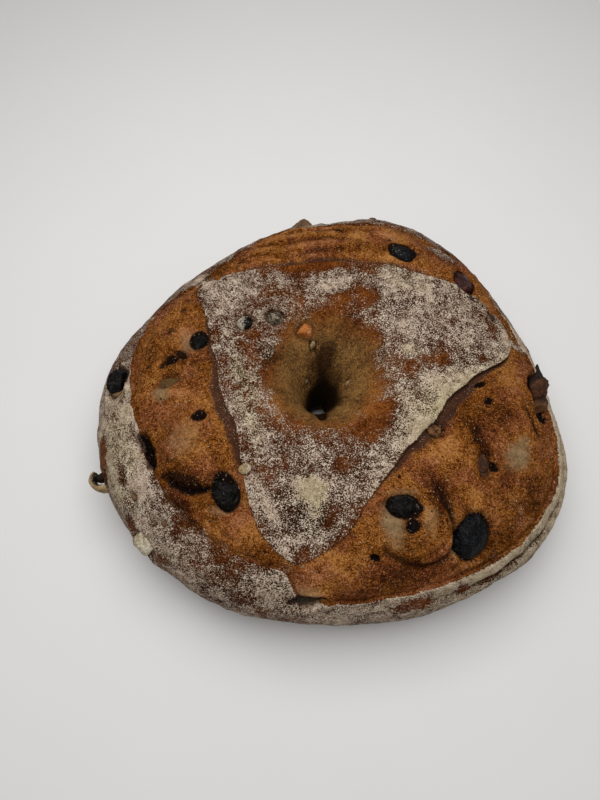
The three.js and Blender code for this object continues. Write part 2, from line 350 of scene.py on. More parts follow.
# Where the flour lies thicker or thinner, and how yellow it is there.
flourPatches = [
    spot(139, 17, 12, 8, 10, add=0.04),
    spot(8.9, 49, 8.5, 3, -6, add=0.56),
    spot(140.5, 42, 7.5, 4.4, 128, add=0.5),
    spot(264, 13.5, 6.5, 9, 25, add=0.42, warm=0.8),
    spot(254, 12, 5.5, 8, 10, add=0.2),
    spot(22, 14, 24, 16, -15, add=0.1),
    spot(170, -3, 6, 14, 5, add=-0.12),
    spot(92, -10, 14, 7, add=-0.16),
    spot(75, -12, 9, 8, add=-0.12),
    spot(50, 16, 14, 7, -20, add=0.2, warm=0.3),
    spot(8, 1, 5, 4, 20, add=0.3, warm=0.5),
    spot(359, 5, 9, 5, 10, add=-0.3),
    spot(300, -9, 15, 7, 40, add=-0.3),
    spot(277, 4, 5, 5, 30, add=-0.26),
    spot(240, -7, 5, 10, 10, add=-0.14),
    spot(97, 12.5, 13, 3.4, 6, add=-0.3),
    spot(58, 1, 7, 6, -30, add=-0.18),
    spot(109, 5, 9, 5.5, 10, add=-0.03),
    spot(83, 3, 7, 6, 15, add=0.12),
    spot(158, -6, 5, 8, add=-0.14),
    spot(199.5, 68, 4.6, 8, -10, add=-0.8),
    spot(208, 56, 3, 8, 20, add=-0.42),
    spot(218.5, 73, 4, 4, add=-0.7),
    spot(250, 20, 2.6, 9, 25, add=0.25),
    spot(205, 0, 4.5, 26, 12, add=0.12, warm=0.5),
    spot(269, 22, 4, 7, -30, add=-0.2),
    spot(257, 22, 3, 6, 25, add=-0.16),
    spot(260, 33, 4, 5, add=0.2),
    spot(203, 60, 16, 30, add=0, warm=0.45),
    spot(192, 60, 6, 16, add=0.12),
    spot(214, 48, 5, 9, 20, add=0.2),
    spot(205, 80, 5, 8, add=-0.35),
    spot(247, 64, 10, 6, -30, add=-0.16),
    spot(45.5, 42.5, 8.5, 3.6, -38, add=0.6),
    spot(338, 29, 3, 3, add=0.25),
    spot(289, 68, 10, 5, 8, add=-0.3),
    spot(300.5, 69, 4, 6, 30, add=-0.34),
    spot(295.5, 66, 5, 4, 20, add=0.16, warm=0.6),
    spot(304.5, 66, 6, 4, 30, add=0.2, warm=0.8),
    spot(262, 43, 7, 3, add=0.2),
]

# Flour over each region, and along the rim as degrees around: amount.
flourLevels = {
    "plateau": 0.46, "cut": -0.1, "base": 0.3,
    "yellowEdge": 335, "yellowRim": 325,   # degrees around, where thick yellow flour lies
    "rim": {0: 0.9, 30: 0.42, 60: 0.45, 90: 0.5, 140: 0.38, 165: 0.3, 178: 0.42, 188: 0.64, 205: 0.66,
        220: 0.6, 235: 0.5, 247: 0.46, 258: 0.58, 275: 0.54, 295: 0.62, 320: 0.8, 345: 1},
}


class CrustSheet:
    # the loaf's grid of points, [column, row], with what each point is near to

    def __init__(self):
        rows = [(kind, share) for kind, shares in crustGrid["rows"].items() for share in shares]
        self.kinds = np.array([kind for kind, share in rows])
        shares = np.array([share for kind, share in rows])
        ring = np.arange(crustGrid["columns"]) * 360 / crustGrid["columns"]
        self.around = np.repeat(ring[:, None], len(rows), 1)
        spots = place(ring, 80.0, 0.0)
        ragged = 0.3 * noiseAt(spots, 9, 1) + 0.3 * noiseAt(spots, 3.2, 2)
        raggedRim = 1.2 * noiseAt(spots, 11, 3) + 0.9 * noiseAt(spots, 3.6, 4)
        self.inner = (smoothThrough(cutShape["plateauEdge"], ring) + ragged)[:, None]
        self.outer = (smoothThrough(cutShape["rimEdge"], ring) + raggedRim)[:, None]
        self.outer = np.maximum(self.outer, self.inner + cutShape["narrowest"])
        self.down = self.downAt(shares)
        self.point, self.downhill, self.outward = surfaceFrame(self.around, self.down)
        self.layBase(shares)
        self.measureEdges()

    def downAt(self, shares):
        first, last = self.inner + 1, self.outer - 1
        spans = {
            "hollow": (-90, 0), "plateau": (0, self.inner), "lip": (self.inner, first),
            "crescent": (first, last), "rimLip": (last, self.outer), "rim": (self.outer, 90),
            "foot": (90, 180), "base": (180, 180), "flare": (180, 180),
        }
        down = np.zeros(self.around.shape)
        for kind, (start, end) in spans.items():
            chosen = self.kinds == kind
            down[:, chosen] = (start + (end - start) * shares[chosen]) * np.ones((len(down), 1))
        return down

    def layBase(self, shares):
        # the flat base, and the hollow opening out again below its waist
        around = self.around[:, :1]
        outerEdge = evenlyThrough(loafShape["outerRadii"], around) - loafShape["footTuck"]
        innerEdge = waistRadius(around) + loafShape["hollowFlare"]
        base, flare = self.kinds == "base", self.kinds == "flare"
        radius = outerEdge + (innerEdge - outerEdge) * shares[base]
        self.point[:, base] = place(around, radius, 0.0, shares[base])
        self.outward[:, base] = (0, 0, -1)
        bend = np.radians(90 * shares[flare])
        radius = innerEdge - loafShape["hollowFlare"] * np.sin(bend)
        self.point[:, flare] = place(around, radius, loafShape["waistHeight"] * (1 - np.cos(bend)), 1.0)
        inward = place(around, radius - 50 * np.cos(bend), -50 * np.sin(bend)) - place(around, radius, 0.0)
        self.outward[:, flare] = unit(inward)

    def rowsOf(self, *kinds):
        return np.isin(self.kinds, kinds) & np.ones(self.around.shape, bool)

    def edge(self, name):
        return smoothThrough(cutShape[name], self.around)

    def noise(self, size, seed, octaves=1):
        return noiseAt(self.point, size, seed, octaves)

    def measureEdges(self):
        # millimetres down the surface from the plateau's edge and from the rim's edge, and
        # the same counted only before or only after each edge
        steps = np.linalg.norm(np.diff(self.point, axis=1), axis=2)
        run = np.concatenate([np.zeros((len(steps), 1)), np.cumsum(steps, axis=1)], axis=1)
        self.pastInner = run - run[:, np.where(self.kinds == "plateau")[0][-1], None]
        self.pastOuter = run - run[:, np.where(self.kinds == "rim")[0][0], None]
        self.beforeInner, self.afterInner = (np.clip(side * self.pastInner, 0, far) for side in (-1, 1))
        self.beforeOuter, self.afterOuter = (np.clip(side * self.pastOuter, 0, far) for side in (-1, 1))
        self.inCut = self.rowsOf("lip", "crescent", "rimLip")
        self.onPlateau = self.rowsOf("hollow", "plateau")
        self.onRim = ~self.inCut & ~self.onPlateau

    def aroundSpot(self, at):
        # distance from a spot, and the direction seen from outside, for points on its side of the loaf
        centre, east, north, out = seat(at)
        offset = self.point - centre
        radius = np.hypot(offset @ east, offset @ north)
        angle = np.degrees(np.arctan2(offset @ north, offset @ east))
        return np.where(self.outward @ out > 0.3, radius, far), angle

    def near(self, spec):
        # which points a mark touches, and how far out each is, 1 at the mark's edge
        centre, along, across, out = seat(spec["at"], spec["turn"])
        size = spec["size"][:2]
        offset = self.point - centre
        reach = np.hypot(offset @ along / size[0], offset @ across / size[1])
        depth = np.abs(offset @ out) < 1.2 * max(size)
        return np.where(depth & (self.outward @ out > 0.1), reach, 9.0)  # 9 is out of reach


def stripShare(sheet, soft):
    # 1 on the strip of stretched dough beside the plateau, 0 past it
    width = sheet.edge("stripWidth") + 0.9 * sheet.noise(7, 12)
    return smooth(soft, -soft, sheet.afterInner - width) * smooth(0.4, 1.8, width) * sheet.inCut


def ribbonLift(sheet):
    # the rim's edge stands as a pale ribbon, then dips to a groove before the wall; the second value is the
    # groove's share, painted dark as shade and thinned of flour
    past = sheet.afterOuter + sheet.noise(8, 13)
    clear = sheet.edge("ribbon") * sheet.onRim
    ridge, groove, wall = cutShape["ribbonLies"]
    shape = 0.7 * hump(past - ridge, 2.6) - 1.9 * hump(past - groove, 1.8) + 0.6 * hump(past - wall, 3)
    return clear * shape, clear * hump(past - groove, 1.7)


def edgeLift(sheet):
    # the floured skin curls up beside a cut and hangs over it a little; the cut dips, then swells
    curl, rimCurl = sheet.edge("lipLift"), sheet.edge("rimLift")
    lift = np.where(sheet.onPlateau, curl * np.exp(-sheet.beforeInner / cutShape["lipReach"]), 0)
    slide = np.where(sheet.onPlateau, 0.7 * curl * hump(sheet.beforeInner, 1.6), 0)
    lift += np.where(sheet.onRim, rimCurl * np.exp(-sheet.afterOuter / cutShape["rimReach"]), 0)
    slide -= np.where(sheet.onRim, 0.6 * hump(sheet.afterOuter, 1.4), 0)
    width = np.maximum(1.0, sheet.pastInner - sheet.pastOuter)
    across = np.clip(sheet.pastInner / width, 0, 1)
    strip = 0.6 * stripShare(sheet, 2.5)
    groove = cutShape["grooveDepth"] * (0.55 * curl * hump(sheet.afterInner, 2.4) + strip)
    rimGroove = cutShape["rimGroove"] * hump(sheet.beforeOuter, 2.2)
    swell = cutShape["swell"] * np.sin(math.pi * across) ** 0.8 * smooth(6, 22, width)
    lift += np.where(sheet.inCut, swell - groove - rimGroove, 0)
    # the rows of the two lips, set so that the skin overhangs
    lipRows, rimRows = (np.where(sheet.kinds == kind)[0] for kind in ("lip", "rimLip"))
    for row, height, forward in zip(lipRows, (0.5, -0.5), (0.9, 0.3)):
        lift[:, row] = height * curl[:, row]
        slide[:, row] = forward * curl[:, row]
    for row, height, forward in zip(rimRows[1:], (-0.5, 0.5), (-0.2, -0.6)):
        lift[:, row] = height * rimCurl[:, row]
        slide[:, row] = forward
    return lift, slide


def layerRidges(sheet):
    # the top crescent opened in steps, so ridges run along it, with fine stretch marks across them
    along = hump(sheet.around - 100, 34)
    wave = np.sin(sheet.pastInner * 2 * math.pi / 7.0 + 2.6 * sheet.noise(20, 11) - 1.6)
    wave = wave * smooth(-0.5, 0.3, sheet.noise(16, 15))
    arc = np.radians(sheet.around) * 70
    fine = noiseAt(np.stack([arc / 1.5, sheet.pastInner / 9, 0 * arc], -1), 1.0, 14)
    fade = smooth(0.5, 3, sheet.pastInner) * smooth(0.5, 4, -sheet.pastOuter) * sheet.inCut
    stretched = hump(sheet.around - 95, 45) + 0.5 * hump(sheet.around - 305, 30)
    lift = fade * (0.5 * along * wave + 0.14 * stretched * fine)
    return lift, fade * (0.55 * along * wave + 0.4 * stretched * fine)


def loafUnevenness(sheet):
    broad = 1.1 * sheet.noise(34, 5) + 0.55 * sheet.noise(15, 6)
    blisters = sheet.noise(6.5, 7)
    pebble = sheet.noise(2.6, 8, 2)
    lumps = sheet.noise(4.0, 9)
    rough = 0.75 * blisters + 0.4 * lumps + 0.28 * pebble
    inCut = broad * 0.8 + rough * (1 - 0.75 * stripShare(sheet, 1.2))
    onSkin = broad + 0.35 * blisters + 0.16 * lumps + 0.2 * pebble
    onSkin = onSkin * (1 - 0.65 * smooth(-8, -30, sheet.down))
    amount = np.where(sheet.inCut, inCut, onSkin)
    return amount * np.where(sheet.down > 90, smooth(176, 120, sheet.down), 1)


def pathDistance(sheet, path):
    # millimetres from each point to a line drawn over the surface, and a fade at the line's ends
    spots = np.array([sectionPoint(np.array(float(a)), np.array(float(d))) for a, d in path])
    nearest = np.full(sheet.around.shape, far)
    for start, end in zip(spots[:-1], spots[1:]):
        span = end - start
        share = np.clip(((sheet.point - start) @ span) / (span @ span), 0, 1)
        gap = np.linalg.norm(sheet.point - start - share[..., None] * span, axis=-1)
        nearest = np.minimum(nearest, gap)
    ends = [np.linalg.norm(sheet.point - end, axis=-1) for end in (spots[0], spots[-1])]
    return nearest, smooth(0, 4, np.minimum(*ends))


def markCrust(sheet, fruit):
    # the marks, creases, swirls and fruit sockets: how far they move the crust and tint it
    # dark is painted shade in cavities, cracks, creases and around the fruit, and burnt crust
    lift, dark, pale, tint = (np.zeros(sheet.around.shape) for _ in range(4))
    torn = 0.22 * sheet.noise(2.4, 21) + 0.22 * sheet.noise(7.0, 22)
    for mark in crustMarks:
        reach, soft = sheet.near(mark) + torn, mark["soft"]
        lift += mark["lift"] * smooth(1.0 + 0.25 * soft, 1.0 - soft * 0.95, reach)
        dark = np.maximum(dark, mark["dark"] * smooth(1.15, 0.75, reach))
        pale = np.maximum(pale, mark["pale"] * smooth(1.25, 0.35, reach))
        tint += mark["tint"] * smooth(1.4, 0.3, reach)
    for width, depth, shade, path in crustCreases:
        gap, fade = pathDistance(sheet, path)
        gap = gap + 1.6 * torn
        lift -= depth * fade * hump(gap, width)
        lift += 0.35 * depth * fade * hump(gap - 2.2 * width, width)
        dark = np.maximum(dark, shade * fade * hump(gap, width * 1.1))
    for at, radius, reach, wave, height, golden, middle, half in crustSwirls:
        away, angle = sheet.aroundSpot(at)
        offset = away + 3.0 * torn - radius
        amount = hump(offset, reach) * smooth(half, half - 35, np.abs(turnBetween(angle, middle)))
        amount = amount * np.cos(offset * 2 * math.pi / wave)
        lift += height * amount
        tint += golden * amount
    for spec in fruit:
        reach = sheet.near(spec) + 0.35 * torn
        gap = (reach - 1) * min(spec["size"][:2])
        lift -= 1.5 * smooth(1.0, 0.75, reach)
        lift -= spec["socket"] * hump(gap - 0.2, 0.8)
        lift += 0.6 * spec["collar"] * hump(gap - 2.2, 1.5) * (reach > 0.9)
        dark = np.maximum(dark, spec["shadow"] * smooth(0.95, 0.0, gap))
    return lift, dark, pale, tint


def flourOn(sheet):
    # how much flour each point carries, and how yellow it is
    warp = 0.35 * sheet.noise(9, 31) + 0.25 * sheet.noise(4, 32)
    rim = smoothThrough(flourLevels["rim"], sheet.around)
    flour = np.where(sheet.onPlateau, flourLevels["plateau"], np.where(sheet.onRim, rim, flourLevels["cut"]))
    innerFade, rimFade = sheet.edge("innerFade"), sheet.edge("rimFade")
    for side, fade, crisp, loss, gap in (
            (sheet.onPlateau, innerFade, 0.14, 0.5, sheet.beforeInner),
            (sheet.onRim, rimFade, 0.15, 0.4, sheet.afterOuter)):
        flour += np.where(side, (crisp - loss * fade) * hump(gap, 3.0 + 1.5 * fade), 0)
    flour += np.where(sheet.inCut, 0.36 * innerFade * hump(sheet.afterInner, 2.2), 0)
    flour += np.where(sheet.inCut, 0.36 * rimFade * hump(sheet.beforeOuter, 3.0), 0)
    nearEdge, nearRim = (turnBetween(sheet.around, flourLevels[name]) for name in ("yellowEdge", "yellowRim"))
    band = hump(nearEdge, 26) * np.exp(-sheet.beforeInner / 12) * sheet.onPlateau
    flour += 0.34 * band
    warm = 0.9 * band + 0.5 * hump(nearRim, 30) * sheet.onRim
    for patch in flourPatches:
        amount = smooth(1.25, 0.45, sheet.near(patch) + warp)
        flour += patch["add"] * amount
        warm = np.maximum(warm, patch["warm"] * amount)
    flour -= 0.5 * ribbonLift(sheet)[1]
    ragged = sheet.down + 9 * sheet.noise(11, 33)
    flour = flour - np.where(sheet.onPlateau, 0.72 * smooth(-9, -36, ragged), 0)
    flour -= 0.9 * np.clip(rim - 0.52, 0, 1) * smooth(68, 92, sheet.down) * sheet.onRim
    flour -= 0.6 * smooth(95, 150, sheet.down)
    return np.where(sheet.rowsOf("base"), flourLevels["base"], flour), np.clip(warm, 0, 1)


def hollowTint(sheet):
    # streaks down the hollow's wall, and the glow of thin flour round its mouth
    inside = smooth(-10, -30, sheet.down)
    streaks = noiseAt(np.stack([sheet.around / 7, sheet.down / 45, 0 * sheet.down], -1), 1.0, 41)
    return 0.5 * streaks * inside + 0.5 * hump(sheet.down + 13, 13) * sheet.onPlateau


def pitShadeShare(sheet):
    # how high up the hollow's wall the painted shade of the pit reaches
    level = smoothThrough(loafShape["pitShadeLevels"], sheet.around) + 5 * sheet.noise(6, 42)
    return smooth(level + 9, level - 7, sheet.down)


def wrapped(values):
    # [column, row] values in a grid mesh's order, with the first column and row again at the end
    again = np.concatenate([values, values[:1]], axis=0)
    again = np.concatenate([again, again[:, :1]], axis=1)
    return np.ascontiguousarray(again.swapaxes(0, 1)).ravel()


def newPiece(add, name, location=(0, 0, 0), **how):
    # a primitive to shape, added with nothing else selected
    bpy.ops.object.select_all(action="DESELECT")
    add(location=location, **how)
    piece = bpy.context.object
    piece.name = name
    return piece


def pointsOf(piece):
    points = np.empty(len(piece.data.vertices) * 3)
    piece.data.vertices.foreach_get("co", points)
    return points.reshape(-1, 3)


def movePoints(piece, points):
    piece.data.vertices.foreach_set("co", (points * mm).ravel())
    piece.data.update()


def addAttributes(piece, attributes):
    for name, values in attributes.items():
        layer = piece.data.attributes.new(name, "FLOAT", "POINT")
        layer.data.foreach_set("value", np.ascontiguousarray(values, dtype=np.float32).ravel())


def faceOutward(sew=False):
    bpy.ops.object.mode_set(mode="EDIT")
    bpy.ops.mesh.select_all(action="SELECT")
    if sew:
        bpy.ops.mesh.remove_doubles(threshold=0.0005 * mm)
    bpy.ops.mesh.normals_make_consistent(inside=False)
    bpy.ops.object.mode_set(mode="OBJECT")


def makeCrust(fruit):
    sheet = CrustSheet()
    ragged = sheet.down + 8 * sheet.noise(9, 34)
    lift, slide = edgeLift(sheet)
    ridges, ridgeTint = layerRidges(sheet)
    ribbon, groove = ribbonLift(sheet)
    markLift, dark, pale, tint = markCrust(sheet, fruit)
    lift = lift + ridges + ribbon + loafUnevenness(sheet) + markLift
    lift = np.where(sheet.rowsOf("base", "flare"), 0, lift)
    flour, warm = flourOn(sheet)
    point = sheet.point + sheet.outward * lift[..., None] + sheet.downhill * slide[..., None]
    point[..., 2] = np.where(sheet.rowsOf("base"), 0, np.maximum(point[..., 2], 0))
    print("crust:", point.shape, "lift", round(float(lift.min()), 2), round(float(lift.max()), 2))

    crust = newPiece(bpy.ops.mesh.primitive_grid_add, "crust", x_subdivisions=crustGrid["columns"],
                     y_subdivisions=len(sheet.kinds), size=200 * mm)
    movePoints(crust, wrapped(point))
    paint = {
        "flour": flour,
        # painted shade in the cracks, creases, fruit sockets and the rim's groove, and burnt crust
        "dark": np.maximum(dark, 0.75 * groove),
        "pale": np.maximum(pale, warm * ~sheet.inCut),
        "tint": np.clip(tint + ridgeTint + hollowTint(sheet), -1.2, 1.2),
        "cut": sheet.inCut.astype(float),
        "strip": stripShare(sheet, 0.9),
        "hollow": smooth(-12, -38, ragged) * (sheet.down < 0) + sheet.rowsOf("flare"),
        "pitShade": pitShadeShare(sheet),
        "low": smooth(70, 150, sheet.down),
    }
    addAttributes(crust, {name: wrapped(values) for name, values in paint.items()})
    faceOutward(sew=True)   # the sheet's edges meet all round
    bpy.ops.object.shade_smooth()
    print("crust faces:", len(crust.data.polygons))
    sheet.lift = lift
    return crust, sheet


class Finish:
    # a material being wired up, with short names for the nodes that bread needs

    def __init__(self, name):
        self.material = bpy.data.materials.new(name)
        self.material.use_nodes = True
        self.tree = self.material.node_tree
        self.coords = self.node("TexCoord", {}).outputs["Object"]

    def fill(self, node, sockets):
        # a number or a colour is set on the socket, and anything else is linked to it
        for name, value in sockets.items():
            if isinstance(value, tuple):
                node.inputs[name].default_value = (*value, 1)
            elif isinstance(value, (int, float)):
                node.inputs[name].default_value = value
            else:
                self.tree.links.new(value, node.inputs[name])

    def node(self, kind, sockets, **choices):
        node = self.tree.nodes.new("ShaderNode" + kind)
        for name, choice in choices.items():
            setattr(node, name, choice)
        self.fill(node, sockets)
        return node

    def noise(self, size, detail=2, rough=0.5, twist=0):
        return self.node("TexNoise", {
            "Vector": self.coords, "Scale": 1 / (size * mm), "Detail": detail, "Roughness": rough,
            "Distortion": twist}).outputs["Fac"]

    def cells(self, size):
        return self.node("TexVoronoi", {"Vector": self.coords, "Scale": 1 / (size * mm)}).outputs["Distance"]

    def sum(self, *terms):
        # adds up (value, weight) pairs, where a noise averages about 0.5
        total = 0.0
        for value, weight in terms:
            total = self.node("Math", {0: value, 1: weight, 2: total}, operation="MULTIPLY_ADD").outputs[0]
        return total

    def times(self, left, right):
        return self.node("Math", {0: left, 1: right}, operation="MULTIPLY").outputs[0]

    def step(self, value, low, high, start=0, end=1):
        return self.node("MapRange", {
            "Value": value, "From Min": low, "From Max": high, "To Min": start, "To Max": end,
        }, interpolation_type="SMOOTHSTEP").outputs["Result"]

    def attribute(self, name):
        return self.node("Attribute", {}, attribute_name=name).outputs["Fac"]

    def ramp(self, value, stops):
        node = self.node("ValToRGB", {"Fac": value})
        elements = node.color_ramp.elements
        while len(elements) < len(stops):
            elements.new(0.5)
        for element, (position, *colour) in zip(elements, stops):
            element.position = position
            element.color = (*colour, 1)
        return node.outputs["Color"]

    def blend(self, amount, under, over):
        return self.node("Mix", {0: amount, 6: under, 7: over}, data_type="RGBA").outputs[2]

    def bump(self, height, distance, strength):
        return self.node("Bump", {
            "Height": height, "Distance": distance * mm, "Strength": strength}).outputs["Normal"]

    def finish(self, colour, roughness, specular, normal=None):
        sockets = {"Base Color": colour, "Roughness": roughness, "Specular IOR Level": specular}
        if normal is not None:
            sockets["Normal"] = normal
        self.fill(self.tree.nodes["Principled BSDF"], sockets)
        return self.material


# Colours from dark to light: each stop is (position, red, green, blue).
crustColours = {
    "golden": [(0, 0.026, 0.007, 0.001), (0.25, 0.092, 0.026, 0.003), (0.5, 0.196, 0.061, 0.008),
               (0.75, 0.3, 0.105, 0.02), (1, 0.48, 0.215, 0.06)],
    "rosy": [(0, 0.028, 0.007, 0.003), (0.25, 0.088, 0.024, 0.008), (0.5, 0.172, 0.047, 0.013),
             (0.75, 0.27, 0.084, 0.032), (1, 0.44, 0.185, 0.086)],
    "skin": [(0, 0.024, 0.006, 0.001), (0.35, 0.092, 0.024, 0.005), (0.65, 0.205, 0.057, 0.01),
             (1, 0.345, 0.118, 0.019)],
    "hollow": [(0, 0.048, 0.021, 0.008), (0.5, 0.19, 0.095, 0.03), (1, 0.4, 0.21, 0.062)],
    "strip": [(0.32, 0.026, 0.011, 0.008), (0.7, 0.098, 0.042, 0.026)],
    "pale": [(0.32, 0.15, 0.09, 0.04), (0.68, 0.45, 0.31, 0.16)],
    "flour": [(0.36, 0.24, 0.15, 0.1), (0.5, 0.49, 0.36, 0.262), (0.64, 0.8, 0.68, 0.54)],
    "yellowFlour": [(0.36, 0.25, 0.18, 0.095), (0.5, 0.46, 0.37, 0.21), (0.64, 0.68, 0.59, 0.39)],
    "rust": (0.085, 0.028, 0.012),
    "underside": (0.06, 0.026, 0.012),
    # burnt crust, and painted shade in cracks, cavities, creases, the rim's groove and fruit sockets
    "burnAndShade": (0.008, 0.004, 0.003),
    # painted shade in small pits
    "poreShade": (0.01, 0.005, 0.003),
    "haze": (0.4, 0.228, 0.136),
    # a painted highlight: the colour of tiny glints of light
    "paintedGlint": (0.62, 0.44, 0.27),
    # painted shade deep in the hollow's pit
    "pitShade": (0.006, 0.003, 0.002),
}


def crustFinish():
    look, paint = Finish("bakedCrust"), crustColours
    broad = look.noise(22, 3, 0.55, 0.3)
    patch = look.noise(7, 4, 0.6, 0.2)
    mottle = look.noise(2.8, 3, 0.6)
    grain = look.noise(1.1, 3, 0.65)
    speck = look.noise(0.52, 2, 0.75)
    cloud = look.noise(10, 3, 0.6, 0.4)
    flour, dark, pale, tint, cut, strip, hollow, low, pitShade = (look.attribute(name) for name in (
        "flour", "dark", "pale", "tint", "cut", "strip", "hollow", "low", "pitShade"))

    # bare crust: floured skin's brown, the crescents, and the hollow
    tone = look.sum((broad, 0.6), (patch, 0.5), (mottle, 0.55), (grain, 1), (speck, 1.9), (tint, 0.34))
    golden = look.ramp(look.step(tone, 1.8, 2.74), paint["golden"])
    rosy = look.ramp(look.step(tone, 1.74, 2.8), paint["rosy"])
    rosiness = look.step(look.noise(13, 3, 0.6, 0.5), 0.44, 0.62, 0, 0.75)
    skin = look.ramp(look.step(tone, 1.78, 2.9), paint["skin"])
    colour = look.blend(cut, skin, look.blend(rosiness, golden, rosy))
    wall = look.ramp(look.step(tone, 1.8, 2.76), paint["hollow"])
    wall = look.blend(look.step(mottle, 0.54, 0.7, 0, 0.4), wall, paint["rust"])

    # dark: burnt crust, and painted shade in the cavities, cracks, creases, rim groove and fruit sockets
    burnAndShade = look.step(look.sum((dark, 1), (grain, 0.35), (patch, 0.25)), 0.5, 1.15)
    # tiny dark dots in the cut crust: painted shade in small pits
    paintedPoreShade = look.times(look.step(look.cells(6.5), 0.05, 0.1, 0.85, 0), cut)
    haze = look.step(look.sum((flour, 1), (cloud, 0.6), (patch, 0.6)), 1.22, 1.6, 0, 0.52)
    clear = look.step(dark, 0.1, 0.7, 1, 0.1)
    level = look.sum((flour, 1), (cloud, 1.15), (patch, 0.6), (mottle, 0.4), (grain, 0.75), (speck, 2.3))
    dusted = look.times(look.step(level, 2.98, 3.2), clear)
    fineness = look.sum((mottle, 0.4), (speck, 0.6))
    dust = look.blend(pale, look.ramp(fineness, paint["flour"]), look.ramp(fineness, paint["yellowFlour"]))
    # tiny bright specks over the cut crust: a painted highlight, glints of light
    paintedGlint = look.times(look.step(look.noise(0.72, 1, 0.5), 0.67, 0.75, 0, 0.6), cut)
    # laid over one another in this order
    for amount, over in (
            (hollow, wall),
            # the dark band beside the plateau's edge: the stretched dough's own darker colour, and painted
            # shade under the overhanging lip
            (look.times(strip, 0.92), look.ramp(look.sum((patch, 0.5), (speck, 0.5)), paint["strip"])),
            (look.times(look.times(pale, cut), 0.9),
             look.ramp(look.sum((patch, 0.5), (grain, 0.5)), paint["pale"])),
            (look.times(low, 0.6), paint["underside"]),
            (burnAndShade, paint["burnAndShade"]),
            (paintedPoreShade, paint["poreShade"]),
            (look.times(haze, clear), paint["haze"]),
            (dusted, dust),
            (paintedGlint, paint["paintedGlint"]),
            # painted shade deep in the hollow's pit
            (look.times(pitShade, 0.95), paint["pitShade"])):
        colour = look.blend(amount, colour, over)

    rough = look.step(dusted, 0, 1, 0.5, 0.95)
    height = look.sum((grain, 1), (speck, 0.9), (dusted, 0.7))
    return look.finish(colour, rough, 0.02, look.bump(height, 0.62, 0.95))


def raisinFinish(name, tint, dust, rough, shine):
    look = Finish(name)
    skin = look.noise(3.0, 3, 0.55, 0.4)
    fine = look.noise(0.65, 2, 0.6)
    crinkle = look.cells(1.5)
    # dark and light patches over the skin, the light ones a painted sheen
    stops = [(position, *(strength * value for value in tint))
             for position, strength in ((0.4, 0.25), (0.58, 1.8), (0.7, 6.5))]
    colour = look.ramp(look.sum((skin, 0.5), (fine, 0.5)), stops)
    # a grey speckle over the skin: a painted sheen
    paintedSheen = look.step(look.sum((skin, 0.8), (fine, 1), (crinkle, 0.3)), 1.08, 1.42, 0, 0.55)
    colour = look.blend(paintedSheen, colour, (0.044, 0.044, 0.043))
    film = look.step(look.sum((look.attribute("flour"), 1), (skin, 0.7), (fine, 1)), dust, dust + 0.25)
    colour = look.blend(film, colour, (0.42, 0.37, 0.29))
    normal = look.bump(look.sum((skin, 0.6), (fine, 0.9), (crinkle, 0.7)), 0.6, 0.9)
    return look.finish(colour, look.step(film, 0, 1, rough, 0.9), shine, normal)


def nutFinish(name, light, shade, dust):
    look = Finish(name)
    patch = look.noise(3.0, 3, 0.6, 0.5)
    fine = look.noise(0.7, 2, 0.6)
    colour = look.ramp(look.sum((patch, 0.65), (fine, 0.35)), [(0.34, *shade), (0.66, *light)])
    # dark: burnt patches, and painted shade in creases and inside the curl's hook
    colour = look.blend(look.step(look.attribute("dark"), 0.3, 0.8), colour, (0.016, 0.009, 0.006))
    film = look.step(look.sum((look.attribute("flour"), 1), (patch, 0.7), (fine, 1)), dust, dust + 0.45)
    colour = look.blend(film, colour, (0.66, 0.6, 0.47))
    normal = look.bump(look.sum((patch, 0.5), (fine, 0.5)), 0.3, 0.8)
    return look.finish(colour, 0.72, 0.15, normal)


def seated(name, look, at, size, turn, sunk, seed, **how):
    # a piece at [around, down], with its half lengths east, north and out; sunk is how deep its
    # middle sits. crease and wrinkle shape it, and chips cut it back to flat broken faces.
    # flour is (lean east, amount); socket, collar and shadow are the crust's beside it.
    return {"name": name, "look": look, "at": at, "size": size, "turn": turn, "sunk": sunk, "seed": seed,
            "detail": 5, "crease": 0, "wrinkle": 1, "chips": 0, "point": 0, "flour": (0, 0), "burn": 0,
            "socket": 0.7, "collar": 1, "shadow": 0.85, **how}


